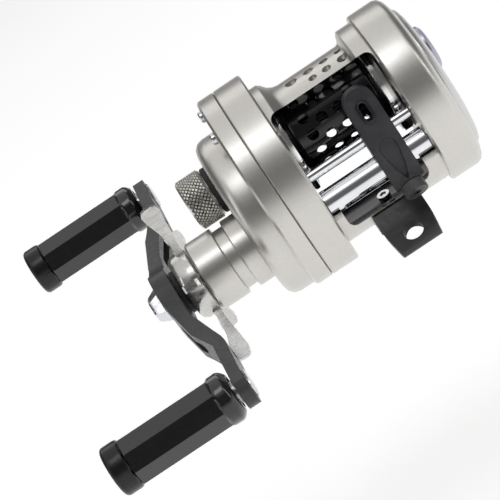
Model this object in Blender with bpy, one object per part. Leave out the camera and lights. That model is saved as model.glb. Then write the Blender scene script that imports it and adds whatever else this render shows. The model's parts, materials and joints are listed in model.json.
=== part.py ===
"""Round baitcasting reel for light lines, modelled as its separate pieces.

World frame: X runs along the spool axis towards the palm side, Y points to the rear
(towards the angler) and Z points up. The origin is the middle of the foot's seat face.
Sizes are in millimetres and become metres where a mesh is made. A clock angle is
measured round an axis parallel to X: 0 is up, 90 front, 180 down and 270 rear.
"""
import math

import bmesh
import bpy
from mathutils import Matrix, Vector

MM = 0.001

# Clearances
FIT = 0.15                      # radial gap of parts that turn or slide in each other
GAP = 0.3                       # gap of parts that are fastened to each other
SEAM = 0.12                     # seam between the two halves of the body, as it shows outside

# Axes, each as (y, z)
AXIS_HEIGHT = 21.0              # body axis above the foot's seat face
WINDOW_TILT = 20.0              # the front window is milled along a line this far above level
BODY = (0.0, AXIS_HEIGHT)
SPOOL = (3.5, AXIS_HEIGHT + 4.76)
HOUSING = (-1.0, AXIS_HEIGHT - 2.88)
GUIDE_ROD = (-11.5, AXIS_HEIGHT + 0.6)

# Gears
GEAR_MODULE = 0.42
DRIVE_TEETH = 57
PINION_TEETH = 12
DRIVE_CLOCK = 147.7             # direction from the spool axis to the drive axis
WIND_MODULE = 0.5
WIND_TEETH = 16
WORM_TEETH = 20
WORM_CLOCK = 79.6               # direction from the drive axis to the worm axis

# Frame, along X
RING_LEFT = -18.75              # handle-side ring, where the side plate meets it
WALL_LEFT = -14.1
RING_RIGHT = -12.1              # handle-side ring, its face on the spool side
PALM_LEFT = 13.0
PALM_WALL = 14.6
PALM_RIGHT = 21.4
RING_RADIUS = 22.9
RING_BORE = 21.4
PALM_RADIUS = 20.3
BARREL_OUTER = 19.1
BARREL_INNER = 17.9
BRIDGE_OUTER = 16.6
BRIDGE_INNER = 15.2

# Handle side, along X
PLATE_FACE = -22.9
HOUSING_FACE = -28.8
HOUSING_RADIUS = 19.0
BOSS_END = -41.6
BOSS_RADIUS = 8.0
BOSS_BORE = 5.55
STUB_END = -34.0
STUB_RADIUS = 4.2
STUB_BORE = 2.75
COVER_WALL = 1.2
SCREW_CIRCLE = 20.3
SCREW_CLOCKS = (27.0, -30.0, -95.0)
PILLAR_CLOCKS = (-50.0, -110.0)
PILLAR_CIRCLE = 16.4

# Handle
ARM_LENGTH = 42.5               # drive axis to knob axis
ARM_CLOCK = 101.0
KNOB_OUTER = -75.3
KNOB_INNER = -46.6
KNOB_RADIUS = 5.45
KNOB_FLATS = 9.9                # across the flats of the octagonal grip
SPOKES = 5
SPOKE_CLOCK = 70.0
SPOKE_LENGTH = 19.5

# Spool and line guide
FLANGE_RADIUS = 12.0
DRUM_RADIUS = 9.0
PORT_ROWS = 14
PORT_RADIUS = 1.25
PORT_CLOCK = 96.1
GUIDE_CENTRE = 5.0              # rest place of the line guide along X
GUIDE_WIDTH = 6.9
PAWL_CLOCK = 140.0

# Thumb bar
THUMB_TRAVEL = 3.1              # downward part of its stroke
THUMB_LEAN = 0.27               # how far it moves to the rear for each step down

# Foot
FOOT_HALF = 24.0
FOOT_WIDTH = 11.2
FOOT_HOLE = 19.7                # distance of each tongue's hole from the middle
TONGUE = 1.3                    # upright thickness of each tongue
SEAT_HALF = 6.5                 # the flat seat runs this far to the front and the rear
FOOT_SCREW_CLOCKS = (166.0, 188.0)
FOOT_SCREW_X = -0.6

FINISHES = {                    # base colour, roughness, metallic
    "satin_aluminium": ((0.66, 0.65, 0.62), 0.36, 1.0),
    "polished_aluminium": ((0.86, 0.86, 0.86), 0.1, 1.0),
    "chrome_steel": ((0.8, 0.81, 0.83), 0.07, 1.0),
    "knurled_steel": ((0.62, 0.61, 0.58), 0.22, 1.0),
    "black_anodised": ((0.035, 0.034, 0.037), 0.42, 0.6),
    "black_rubber": ((0.02, 0.02, 0.02), 0.7, 0.0),
    "brass_gear": ((0.72, 0.53, 0.24), 0.28, 1.0),
    "bearing_steel": ((0.6, 0.61, 0.62), 0.2, 1.0),
    "carbon_washer": ((0.05, 0.05, 0.055), 0.55, 0.0),
    "white_polymer": ((0.82, 0.81, 0.77), 0.45, 0.0),
    "spring_steel": ((0.55, 0.56, 0.58), 0.25, 1.0),
}

SMOOTH_ANGLE = math.radians(32)
WELD = 1e-6

parts = bpy.data.collections.new("round_baitcasting_reel")
tools = bpy.data.collections.new("cutters")


# Small geometry helpers ---------------------------------------------------------------

def polar(axis, clock, radius):
    """The (y, z) point at a clock angle and radius from an axis."""
    angle = math.radians(clock)
    return (axis[0] - radius * math.sin(angle), axis[1] + radius * math.cos(angle))


def arc(axis, radius, start, end, count):
    """Points on a circular arc between two clock angles."""
    step = (end - start) / (count - 1)
    return [polar(axis, start + step * i, radius) for i in range(count)]


def circle(axis, radius, count=24, clock=0.0):
    """A closed ring of points."""
    return [polar(axis, clock + 360.0 * i / count, radius) for i in range(count)]


def rounded_box(low, high, radii, steps=5):
    """A rectangle in a plane, its corners rounded; radii run from low-low anticlockwise."""
    corners = ((low[0], low[1], 180), (high[0], low[1], 270),
               (high[0], high[1], 0), (low[0], high[1], 90))
    points = []
    for (x, y, start), radius in zip(corners, radii):
        centre_x = x + radius if x == low[0] else x - radius
        centre_y = y + radius if y == low[1] else y - radius
        for i in range(steps):
            angle = math.radians(start + 90.0 * i / (steps - 1))
            points.append((centre_x + radius * math.cos(angle), centre_y + radius * math.sin(angle)))
    return points


def gear_outline(axis, module, teeth, clock):
    """Straight-sided teeth, one of them centred on the clock angle."""
    pitch = 360.0 / teeth
    tip = module * (teeth / 2 + 0.7)
    root = module * (teeth / 2 - 1.15)
    points = []
    for i in range(teeth):
        middle = clock + pitch * i
        points.append(polar(axis, middle - 0.24 * pitch, root))
        points.append(polar(axis, middle - 0.1 * pitch, tip))
        points.append(polar(axis, middle + 0.1 * pitch, tip))
        points.append(polar(axis, middle + 0.24 * pitch, root))
    return points


DRIVE = polar(SPOOL, DRIVE_CLOCK, GEAR_MODULE * (DRIVE_TEETH + PINION_TEETH) / 2)
WORM = polar(DRIVE, WORM_CLOCK, WIND_MODULE * (WIND_TEETH + WORM_TEETH) / 2)
KNOBS = (polar(DRIVE, ARM_CLOCK, ARM_LENGTH), polar(DRIVE, ARM_CLOCK + 180, ARM_LENGTH))


# Object helpers -----------------------------------------------------------------------

def finish_material(name):
    """A Principled material, made once for each finish."""
    if name in bpy.data.materials:
        return bpy.data.materials[name]
    colour, roughness, metallic = FINISHES[name]
    material = bpy.data.materials.new(name)
    material.use_nodes = True
    shader = material.node_tree.nodes["Principled BSDF"]
    shader.inputs["Base Color"].default_value = (*colour, 1.0)
    shader.inputs["Roughness"].default_value = roughness
    shader.inputs["Metallic"].default_value = metallic
    return material


def shade(mesh):
    """Round faces smooth, hard edges sharp."""
    mesh.shade_smooth()
    mesh.set_sharp_from_angle(angle=SMOOTH_ANGLE)


def store(name, bm, finish):
    """Close a bmesh into a named object; a shape with no finish is a cutter."""
    bmesh.ops.remove_doubles(bm, verts=bm.verts, dist=WELD)
    bmesh.ops.recalc_face_normals(bm, faces=bm.faces)
    mesh = bpy.data.meshes.new(name)
    bm.to_mesh(mesh)
    bm.free()
    shade(mesh)
    obj = bpy.data.objects.new(name, mesh)
    if finish:
        mesh.materials.append(finish_material(finish))
        parts.objects.link(obj)
    else:
        tools.objects.link(obj)
        obj.hide_render = True
        obj.display_type = "WIRE"
    return obj


def lathe(name, outline, axis, finish=None, sides=32, clock=0.0):
    """Turn an outline of (x, radius) points about an axis parallel to X.

    An outline that starts and ends at radius 0 is a solid; any other one is closed to a ring.
    """
    bm = bmesh.new()
    angle = math.radians(clock)
    ring = []
    for x, radius in outline:
        ring.append(bm.verts.new((x * MM, -radius * math.sin(angle) * MM, radius * math.cos(angle) * MM)))
    edges = [bm.edges.new(pair) for pair in zip(ring, ring[1:])]
    if outline[0][1] > 0:
        edges.append(bm.edges.new((ring[-1], ring[0])))
    bmesh.ops.spin(bm, geom=ring + edges, cent=(0, 0, 0), axis=(1, 0, 0), angle=2 * math.pi,
                   steps=sides, use_merge=True)
    bmesh.ops.translate(bm, verts=bm.verts, vec=(0, axis[0] * MM, axis[1] * MM))
    return store(name, bm, finish)


def disc(name, low, high, radius, axis, finish=None, bore=0.0, sides=20, clock=0.0):
    """A plain cylinder or, with a bore, a ring."""
    if bore:
        outline = [(low, bore), (low, radius), (high, radius), (high, bore)]
    else:
        outline = [(low, 0), (low, radius), (high, radius), (high, 0)]
    return lathe(name, outline, axis, finish, sides, clock)


def prism(name, outlines, low, high, place, finish=None):
    """A flat outline with holes, drawn in a plane and made thick.

    place turns a point (first, second, depth) into world millimetres.
    """
    curve = bpy.data.curves.new(name, "CURVE")
    curve.dimensions = "2D"
    curve.fill_mode = "BOTH"
    curve.extrude = (high - low) / 2
    for outline in outlines:
        spline = curve.splines.new("POLY")
        spline.points.add(len(outline) - 1)
        for point, (first, second) in zip(spline.points, outline):
            point.co = (first, second, 0, 1)
        spline.use_cyclic_u = True
    drawing = bpy.data.objects.new(name + "_drawing", curve)
    tools.objects.link(drawing)
    bpy.context.view_layer.update()
    solid = drawing.evaluated_get(bpy.context.evaluated_depsgraph_get())
    mesh = bpy.data.meshes.new_from_object(solid)
    bm = bmesh.new()
    bm.from_mesh(mesh)
    for vert in bm.verts:
        first, second, depth = vert.co
        vert.co = Vector(place(first, second, depth + (low + high) / 2)) * MM
    bpy.data.objects.remove(drawing)
    bpy.data.curves.remove(curve)
    bpy.data.meshes.remove(mesh)
    return store(name, bm, finish)


def side_view(first, second, depth):
    """An outline drawn in (y, z), thick along X."""
    return (depth, first, second)


def front_view(first, second, depth):
    """An outline drawn in (x, z), thick along Y."""
    return (first, depth, second)


def top_view(first, second, depth):
    """An outline drawn in (x, y), thick along Z."""
    return (first, second, depth)


def radial_frame(axis, clock):
    """A place function: x stays, second runs round the axis, depth runs out from it."""
    out_y, out_z = polar((0, 0), clock, 1)
    round_y, round_z = polar((0, 0), clock + 90, 1)

    def place(first, second, depth):
        return (first, axis[0] + out_y * depth + round_y * second,
                axis[1] + out_z * depth + round_z * second)
    return place


def radial_cylinders(name, axis, rows, low, high, finish=None, sides=12):
    """Cylinders that stand out from an axis, one for each (x, clock, radius) in rows."""
    bm = bmesh.new()
    for x, clock, radius in rows:
        out_y, out_z = polar((0, 0), clock, 1)
        turn = Vector((0, 0, 1)).rotation_difference(Vector((0, out_y, out_z))).to_matrix().to_4x4()
        middle = (low + high) / 2
        centre = Vector((x, axis[0] + out_y * middle, axis[1] + out_z * middle)) * MM
        bmesh.ops.create_cone(bm, cap_ends=True, segments=sides, radius1=radius * MM, radius2=radius * MM,
                              depth=(high - low) * MM, matrix=Matrix.Translation(centre) @ turn)
    return store(name, bm, finish)


def combine(target, others, operation="DIFFERENCE"):
    """Boolean the other objects into the target, bake the result and delete them."""
    for other in others:
        modifier = target.modifiers.new(other.name, "BOOLEAN")
        modifier.operation = operation
        modifier.object = other
    bpy.context.view_layer.update()
    evaluated = target.evaluated_get(bpy.context.evaluated_depsgraph_get())
    mesh = bpy.data.meshes.new_from_object(evaluated)
    bm = bmesh.new()
    bm.from_mesh(mesh)
    bmesh.ops.remove_doubles(bm, verts=bm.verts, dist=WELD)
    bm.to_mesh(mesh)
    bm.free()
    shade(mesh)
    target.modifiers.clear()
    target.data = mesh
    for other in others:
        bpy.data.objects.remove(other)
    return target


# Frame and foot -----------------------------------------------------------------------

def make_frame():
    """One-piece frame: two side rings joined by the perforated bridge and the floor."""
    frame = lathe("frame", [
        (RING_LEFT, RING_BORE), (RING_LEFT, RING_RADIUS - 0.3), (RING_LEFT + 0.3, RING_RADIUS),
        (RING_RIGHT - 0.4, RING_RADIUS), (RING_RIGHT, RING_RADIUS - 0.4), (RING_RIGHT, 2.0),
        (WALL_LEFT, 2.0), (WALL_LEFT, RING_BORE)], BODY, "satin_aluminium", 40)
    palm = lathe("palm_ring", [
        (PALM_LEFT, 2.0), (PALM_LEFT, PALM_RADIUS - 0.4), (PALM_LEFT + 0.4, PALM_RADIUS), (19.4, PALM_RADIUS),
        (20.3, 19.95), (21.0, 19.1), (PALM_RIGHT, 18.0), (PALM_RIGHT, 17.0), (PALM_WALL, 17.0),
        (PALM_WALL, 2.0)], BODY, None, 40)
    overlap_left, overlap_right = RING_RIGHT - 0.2, PALM_LEFT + 0.2
    bridge = lathe("bridge", [
        (overlap_left, BARREL_INNER), (overlap_left, BARREL_OUTER), (-10.4, BARREL_OUTER), (-9.6, 18.5),
        (-8.8, 17.5), (-7.8, 16.85), (-6.6, BRIDGE_OUTER), (8.0, BRIDGE_OUTER), (8.5, 16.9), (8.8, 17.5),
        (9.1, 18.4), (9.6, BARREL_OUTER), (overlap_right, BARREL_OUTER), (overlap_right, BARREL_INNER),
        (10.0, BARREL_INNER), (9.5, BRIDGE_INNER), (-9.5, BRIDGE_INNER), (-10.0, BARREL_INNER)], BODY,
        None, 54)
    floor = disc("floor", overlap_left, overlap_right, BARREL_OUTER, BODY, None, BARREL_INNER - 0.2, 54)
    for shell, start, end in ((bridge, -16.0, 45.0), (floor, 116.5, 220.0)):
        wedge = [BODY] + arc(BODY, 30.0, start, end, 12)
        combine(shell, [prism("wedge", [wedge], -20, 20, side_view)], "INTERSECT")
    combine(frame, [palm, bridge, floor], "UNION")

    window_place = radial_frame(BODY, 90.0 - WINDOW_TILT)
    window = rounded_box((-11.9, -11.55), (12.8, 8.0), (1.7, 1.7, 0.4, 0.4))
    notch = rounded_box((-10.1, 4.0), (9.45, 17.0), (0.4, 0.4, 1.7, 1.7))
    cutters = [prism("window", [window], 0, 30, window_place), prism("notch", [notch], 0, 30, window_place)]
    upper_row = [(-4.0, 4.3, 1.45), (0.2, 4.3, 1.25), (4.0, 4.3, 1.05), (7.5, 4.3, 0.85)]
    lower_row = [(0.2, 16.6, 0.95), (3.6, 16.6, 1.05), (7.5, 16.6, 1.25)]
    cutters.append(radial_cylinders("perforations", BODY, upper_row + lower_row, 13.5, 19.0, None, 10))
    cutters.append(disc("spool_bore", -15, -11, 10.0, SPOOL, None, 0, 32))
    cutters.append(disc("palm_bore", 12, 15.5, 12.2, SPOOL, None, 0, 32))
    cutters.append(disc("worm_bore", -15, -11, 2.35, WORM, None, 0, 20))
    cutters.append(disc("palm_worm_bore", 12, 15.5, 2.35, WORM, None, 0, 20))
    cutters.append(disc("journal_bore", -15, -12.6, 1.65, DRIVE, None, 0, 20))
    pressed = THUMB_TRAVEL + GAP
    slot = [(y + pressed * THUMB_LEAN, z - pressed) for y, z in ((20.0, 28.7), (20.0, 24.3), (17.0, 24.3))]
    slot += [(y - GAP * THUMB_LEAN, z + GAP) for y, z in ((17.0, 24.3), (17.0, 28.9), (19.5, 28.9))]
    cutters.append(prism("thumb_slot", [slot], -15, -11, side_view))
    screws = [(FOOT_SCREW_X, clock, 1.1) for clock in FOOT_SCREW_CLOCKS]
    cutters.append(radial_cylinders("foot_screw_holes", BODY, screws, 15, 21))
    combine(frame, cutters)

    post_end = WALL_LEFT + 0.3
    posts = [disc("screw_boss", RING_LEFT + GAP, post_end, 1.7, polar(BODY, clock, SCREW_CIRCLE), None,
                  0.8, 16)
             for clock in SCREW_CLOCKS]
    posts += [disc("pillar", -15.9, post_end, 1.5, polar(BODY, clock, PILLAR_CIRCLE), None, 0, 16)
              for clock in PILLAR_CLOCKS]
    return combine(frame, posts, "UNION")


def make_foot():
    """Saddle that hugs the floor of the frame on a flat seat, with a bent tongue to front and rear."""
    saddle = BARREL_OUTER + GAP
    crown = saddle + 1.3
    top = [polar(BODY, 225, crown), (16.2, 4.6), (18.2, 3.2), (20.6, 2.05)]
    tip = [(FOOT_HALF - 0.6, 1.0), (FOOT_HALF, 0.5), (FOOT_HALF - 0.4, 0.0), (FOOT_HALF - 1.6, 0.0)]
    under = [(y - 0.2, z - TONGUE) for y, z in reversed(top)]
    rear = top + tip + under + arc(BODY, crown, 220, 199, 6) + [(SEAT_HALF, 0.0)]
    outline = arc(BODY, saddle, 135, 225, 17) + rear + [(-y, z) for y, z in reversed(rear)]
    foot = prism("foot", [outline], -FOOT_WIDTH, FOOT_WIDTH, side_view, "black_anodised")
    half, tip = FOOT_WIDTH / 2, FOOT_WIDTH / 2 - 0.9
    plan = [(-half, -12), (-half + 0.1, -17), (-tip, -FOOT_HALF + 0.7), (-tip + 0.7, -FOOT_HALF - 1),
            (tip - 0.7, -FOOT_HALF - 1), (tip, -FOOT_HALF + 0.7), (half - 0.1, -17), (half, -12)]
    plan += [(x, -y) for x, y in reversed(plan)]
    combine(foot, [prism("plan", [plan], -5, 30, top_view)], "INTERSECT")
    holes = []
    for side in (-1, 1):
        holes.append(prism("foot_hole", [circle((0, side * FOOT_HOLE), 2.2, 20)], -5, 10, top_view))
    screws = [(FOOT_SCREW_X, clock, 1.1) for clock in FOOT_SCREW_CLOCKS]
    holes.append(radial_cylinders("screw_holes", BODY, screws, 18, saddle + 1.0))
    combine(foot, holes)
    for index, clock in enumerate(FOOT_SCREW_CLOCKS, 1):
        name = f"foot_screw_{index}"
        screw = radial_cylinders(name, BODY, [(FOOT_SCREW_X, clock, 0.95)], 17.0, saddle + 0.7,
                                 "chrome_steel")
        head = radial_cylinders("head", BODY, [(FOOT_SCREW_X, clock, 1.5)], 16.7, 17.35, None, 16)
        socket = radial_cylinders("socket", BODY, [(FOOT_SCREW_X, clock, 0.8)], 16, 17.0, None, 6)
        combine(screw, [head], "UNION")
        combine(screw, [socket])


# Handle side cover --------------------------------------------------------------------

def make_side_plate():
    """Cover of the handle side: flat rim, raised gear housing, shaft boss and threaded stub."""
    rim = RING_LEFT - SEAM
    lip_end, lip_radius = RING_LEFT + FIT, RING_BORE - FIT
    cover = lathe("handle_side_plate", [
        (lip_end, lip_radius - 0.2), (lip_end, lip_radius), (rim, lip_radius), (rim, RING_RADIUS),
        (PLATE_FACE + 0.5, RING_RADIUS), (PLATE_FACE, RING_RADIUS - 0.5), (PLATE_FACE, 2.0),
        (PLATE_FACE + COVER_WALL, 2.0), (PLATE_FACE + COVER_WALL, 21.6), (rim - 0.4, 21.6),
        (rim - 0.4, lip_radius - 0.2)], BODY, "satin_aluminium", 40)
    bulge = HOUSING_RADIUS - COVER_WALL
    combine(cover, [disc("opening", PLATE_FACE - 1, PLATE_FACE + 2, bulge, HOUSING, None, 0, 36)])
    corner = []
    for i in range(4):
        angle = math.radians(30 * i)
        corner.append((HOUSING_FACE + 2.6 - 2.6 * math.sin(angle),
                       HOUSING_RADIUS - 2.6 + 2.6 * math.cos(angle)))
    housing = lathe("housing", [(PLATE_FACE + 1.0, bulge), (PLATE_FACE + 1.0, HOUSING_RADIUS)] + corner + [
        (HOUSING_FACE, 0.5), (HOUSING_FACE + COVER_WALL, 0.5), (HOUSING_FACE + COVER_WALL, bulge - 1.6),
        (HOUSING_FACE + COVER_WALL + 1.6, bulge)], HOUSING, None, 36)
    boss = lathe("boss", [
        (HOUSING_FACE + 1, 0), (HOUSING_FACE + 1, BOSS_RADIUS), (-32.4, BOSS_RADIUS), (-32.6, 7.8),
        (-32.6, 7.0),
        (-35.1, 7.0), (-35.1, 7.8), (-35.3, BOSS_RADIUS), (BOSS_END + 0.4, BOSS_RADIUS),
        (BOSS_END, BOSS_RADIUS - 0.4), (BOSS_END, 0)], DRIVE, None, 24)
    stub = disc("stub", STUB_END, HOUSING_FACE + 1, STUB_RADIUS, SPOOL, None, 0, 28)
    plug = disc("plug", HOUSING_FACE + 0.05, HOUSING_FACE + COVER_WALL - 0.05, 2.0, HOUSING, None, 0, 12)
    combine(cover, [housing, plug, boss, stub], "UNION")
    cutters = [disc("boss_bore", BOSS_END - 1, -27, BOSS_BORE, DRIVE, None, 0, 24),
               disc("stub_bore", STUB_END - 1, -27, STUB_BORE, SPOOL, None, 0, 24)]
    for clock in SCREW_CLOCKS:
        cutters.append(disc("screw_hole", -24, -18, 0.8, polar(BODY, clock, SCREW_CIRCLE), None, 0, 12))
    combine(cover, cutters)
    for index, clock in enumerate(SCREW_CLOCKS, 1):
        axis = polar(BODY, clock, SCREW_CIRCLE)
        make_screw(f"side_plate_screw_{index}", PLATE_FACE - FIT, -15.6, 1.35, 0.6, axis)


def make_screw(name, seat, end, head_radius, shank_radius, axis):
    """A screw along X: its head stands out to the left of the seat and has a hexagon socket."""
    top = seat - 1.0
    screw = lathe(name, [(top, 0), (top, head_radius - 0.3), (top + 0.3, head_radius), (seat, head_radius),
                         (seat, shank_radius), (end, shank_radius), (end, 0)], axis, "chrome_steel", 16)
    combine(screw, [disc("socket", top - 0.5, top + 0.6, 0.65, axis, None, 0, 6)])


def make_set_plate():
    """Inner plate of the handle side, which carries the pinion and drive shaft bearings."""
    low, high = -16.9, -15.95
    plate = prism("set_plate", [
        circle(BODY, 18.2, 32), circle(SPOOL, 2.55, 20), circle(DRIVE, 3.75, 20)]
        + [circle(point, 0.9, 12) for point in yoke_points()], low, high, side_view, "bearing_steel")
    combine(plate, [disc("worm_gear_room", low - 1, high + 1, 2.0, WORM, None, 0, 20)])
    disc("drive_shaft_bearing", low, high, 3.6, DRIVE, "bearing_steel", 2.05)


# Drive train --------------------------------------------------------------------------

def make_drive_train():
    """Everything that turns with the drive shaft inside the side plate."""
    shaft = 1.9
    bore = shaft + FIT
    lathe("drive_shaft", [(-53.3, 0), (-53.3, 1.3), (-52.9, 1.6), (-47.7, 1.6), (-47.7, shaft),
                          (-14.4, shaft),
                          (-14.4, 1.5), (-12.8, 1.5), (-12.8, 0)], DRIVE, "bearing_steel", 20)
    toward_spool = DRIVE_CLOCK + 180.0
    gear = gear_outline(DRIVE, GEAR_MODULE, DRIVE_TEETH, toward_spool)
    windows = [circle(polar(DRIVE, 60 * i, 6.6), 2.1, 10) for i in range(6)]
    prism("drive_gear", [gear, circle(DRIVE, bore, 20)] + windows, -20.4, -17.6, side_view, "brass_gear")
    disc("carbon_washer_inner", -21.05, -20.5, 9.6, DRIVE, "carbon_washer", bore, 20)
    disc("drag_washer", -21.7, -21.15, 9.6, DRIVE, "bearing_steel", bore, 20)
    disc("carbon_washer_outer", -22.35, -21.8, 9.6, DRIVE, "carbon_washer", bore, 20)
    disc("pressure_plate", -23.1, -22.45, 8.6, DRIVE, "bearing_steel", bore, 20)
    disc("clutch_tube", -41.85, -23.2, 3.0, DRIVE, "bearing_steel", bore, 20)
    wind = gear_outline(DRIVE, WIND_MODULE, WIND_TEETH, WORM_CLOCK)
    prism("level_wind_drive_gear", [wind, circle(DRIVE, bore, 20)], -15.5, -14.6, side_view, "white_polymer")
    lathe("one_way_clutch", [(-39.4, 3.15), (-39.4, 5.2), (-39.2, 5.4), (-31.7, 5.4), (-31.5, 5.2),
                             (-31.5, 3.15)],
          DRIVE, "bearing_steel", 24)
    disc("boss_bearing", -41.4, -39.6, 5.4, DRIVE, "bearing_steel", 3.15, 20)
    lathe("spring_washer", [(-43.0, 2.1), (-42.4, 4.7), (-42.0, 4.7), (-42.6, 2.1)], DRIVE,
          "spring_steel", 28)
    lathe("star_nut", [(-46.3, 2.4), (-46.3, 3.4), (-43.35, 3.4), (-43.35, 2.4)], DRIVE, "brass_gear", 6, 30)
    disc("arm_spacer", -47.45, -46.6, 5.0, DRIVE, "black_rubber", 2.1, 28)


def make_star_drag():
    """Star wheel: a hub with five blades that are thin round the axis and broad along it."""
    hub = lathe("star_drag", [
        (-46.4, 3.6), (-46.4, 6.6), (-46.1, 7.1), (-45.2, 7.6), (-42.2, 7.6), (BOSS_END - GAP, 7.3),
        (BOSS_END - GAP, 4.95), (-43.2, 4.95), (-43.2, 3.6)], DRIVE, "polished_aluminium", 25)
    blade = [(6.9, -44.0), (10.0, -43.7), (13.5, -44.1), (16.6, -45.1), (18.4, -45.4), (19.2, -45.0),
             (SPOKE_LENGTH, -44.0), (SPOKE_LENGTH, -42.4), (19.0, -41.7), (17.4, BOSS_END + 0.3),
             (10.0, -42.1), (6.9, -42.1)]
    spokes = []
    for i in range(SPOKES):
        place = radial_frame(DRIVE, SPOKE_CLOCK + i * 360.0 / SPOKES)

        def blade_place(radius, x, depth, place=place):
            return place(x, depth, radius)
        spokes.append(prism("spoke", [blade], -0.8, 0.8, blade_place))
    combine(hub, spokes, "UNION")


def arm_frame(along, across):
    """The (y, z) point at a distance along the handle arm and across it."""
    point = polar(DRIVE, ARM_CLOCK, along)
    return polar(point, ARM_CLOCK + 90, across)


def make_handle():
    """Cranked two-knob arm with its nut; the arm is its plan outline cut from a bent strip."""
    def strip_place(along, x, depth):
        y, z = arm_frame(along, depth)
        return (x, y, z)

    reach = ARM_LENGTH + 4.6
    outer = [(5.0, -51.6), (10.0, -51.0), (21.0, -49.1), (29.0, -46.1), (reach, -46.0)]
    inner = [(reach, -43.4), (29.5, -43.4), (27.5, -43.7), (14.0, -47.4), (8.0, -47.7)]
    half = outer + inner
    strip = half + [(-along, x) for along, x in reversed(half)]
    arm = prism("handle_arm", [strip], -8, 8, strip_place, "black_anodised")
    plan = []
    edge = ((5.2, 4.3), (8.5, 3.6), (24, 3.1), (38, 3.6))
    for side, turn, knob in ((1, 0, KNOBS[0]), (-1, 180, KNOBS[1])):
        plan += [arm_frame(side * along, -side * across) for along, across in edge]
        plan += arc(knob, 4.3, ARM_CLOCK + turn - 55, ARM_CLOCK + turn + 55, 9)
        plan += [arm_frame(side * along, side * across) for along, across in reversed(edge)]
        plan += arc(DRIVE, 6.5, ARM_CLOCK + turn + 56, ARM_CLOCK + turn + 124, 6)
    combine(arm, [prism("plan", [plan], -60, -40, side_view)], "INTERSECT")
    cutters = [disc("shaft_hole", -60, -40, 1.75, DRIVE, None, 0, 24)]
    for side in (1, -1):
        slot = []
        for middle, start in ((23.0, -90), (13.5, 90)):
            for i in range(7):
                turn = math.radians(start + 30 * i)
                slot.append(arm_frame(side * (middle + 1.25 * math.cos(turn)), side * 1.25 * math.sin(turn)))
        cutters.append(prism("slot", [slot], -60, -40, side_view))
        cutters.append(disc("hole", -60, -40, 1.5, arm_frame(side * 30.5, 0), None, 0, 16))
        cutters.append(disc("spindle_hole", -60, -40, 2.2, arm_frame(side * ARM_LENGTH, 0), None, 0, 24))
    combine(arm, cutters)
    lathe("handle_nut", [(-54.4, 0), (-54.4, 2.5), (-53.9, 3.0), (-51.85, 4.0), (-51.85, 2.05), (-53.6, 2.05),
                         (-53.6, 0)], DRIVE, "chrome_steel", 6, 30)
    for index, axis in enumerate(KNOBS, 1):
        make_knob(index, axis)


def make_knob(index, axis):
    """One handle knob: riveted spindle, two bearings, screw, octagonal grip and end cap."""
    lathe(f"knob_spindle_{index}", [
        (-72.6, 0), (-72.6, 1.9), (-47.4, 1.9), (-47.4, 2.6), (-46.3, 2.6), (-46.3, 2.05), (-43.25, 2.05),
        (-43.25, 3.1), (-42.95, 2.9), (-42.8, 2.3), (-42.8, 0)], axis, "chrome_steel", 20)
    disc(f"knob_bearing_{index}", -49.8, -47.6, 3.4, axis, "bearing_steel", 2.1, 20)
    flare_end = -50.6
    grip = lathe(f"knob_grip_{index}", [
        (KNOB_INNER, 0), (KNOB_INNER, 4.1), (-47.5, 4.9), (-47.9, 5.3), (-48.4, KNOB_RADIUS),
        (-50.1, KNOB_RADIUS), (flare_end, 5.25), (-50.8, 4.9), (-50.8, 0)], axis, "black_anodised", 20)
    corner = KNOB_FLATS / 2 / math.cos(math.pi / 8)
    barrel = disc("barrel", -71.0, -50.2, corner, axis, None, 0, 8, 90.0 - WINDOW_TILT + 22.5)
    combine(grip, [barrel], "UNION")
    combine(grip, [lathe("bore", [(-72, 0), (-72, 3.2), (-70.4, 3.2), (-70.4, 2.1), (-50.0, 2.1),
                                  (-50.0, 3.55),
                                  (-45, 3.55), (-45, 0)], axis, None, 16)])
    lathe(f"knob_cap_{index}", [
        (KNOB_OUTER, 0), (KNOB_OUTER, 4.7), (-75.0, 5.2), (-74.5, KNOB_RADIUS), (-71.8, KNOB_RADIUS),
        (-71.2, 5.2), (-71.2, 3.7), (-73.8, 3.7), (-73.8, 0)], axis, "black_anodised", 20)


# Pinion and clutch --------------------------------------------------------------------

def yoke_frame(along, away):
    """The (y, z) point of the yoke: along its length, and away from the drive axis."""
    point = polar(SPOOL, DRIVE_CLOCK + 180.0, away)
    return polar(point, DRIVE_CLOCK + 90.0, along)


def yoke_points():
    """Where the two yoke posts stand."""
    return [yoke_frame(7.0, 1.4), yoke_frame(-7.0, 1.4)]


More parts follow.
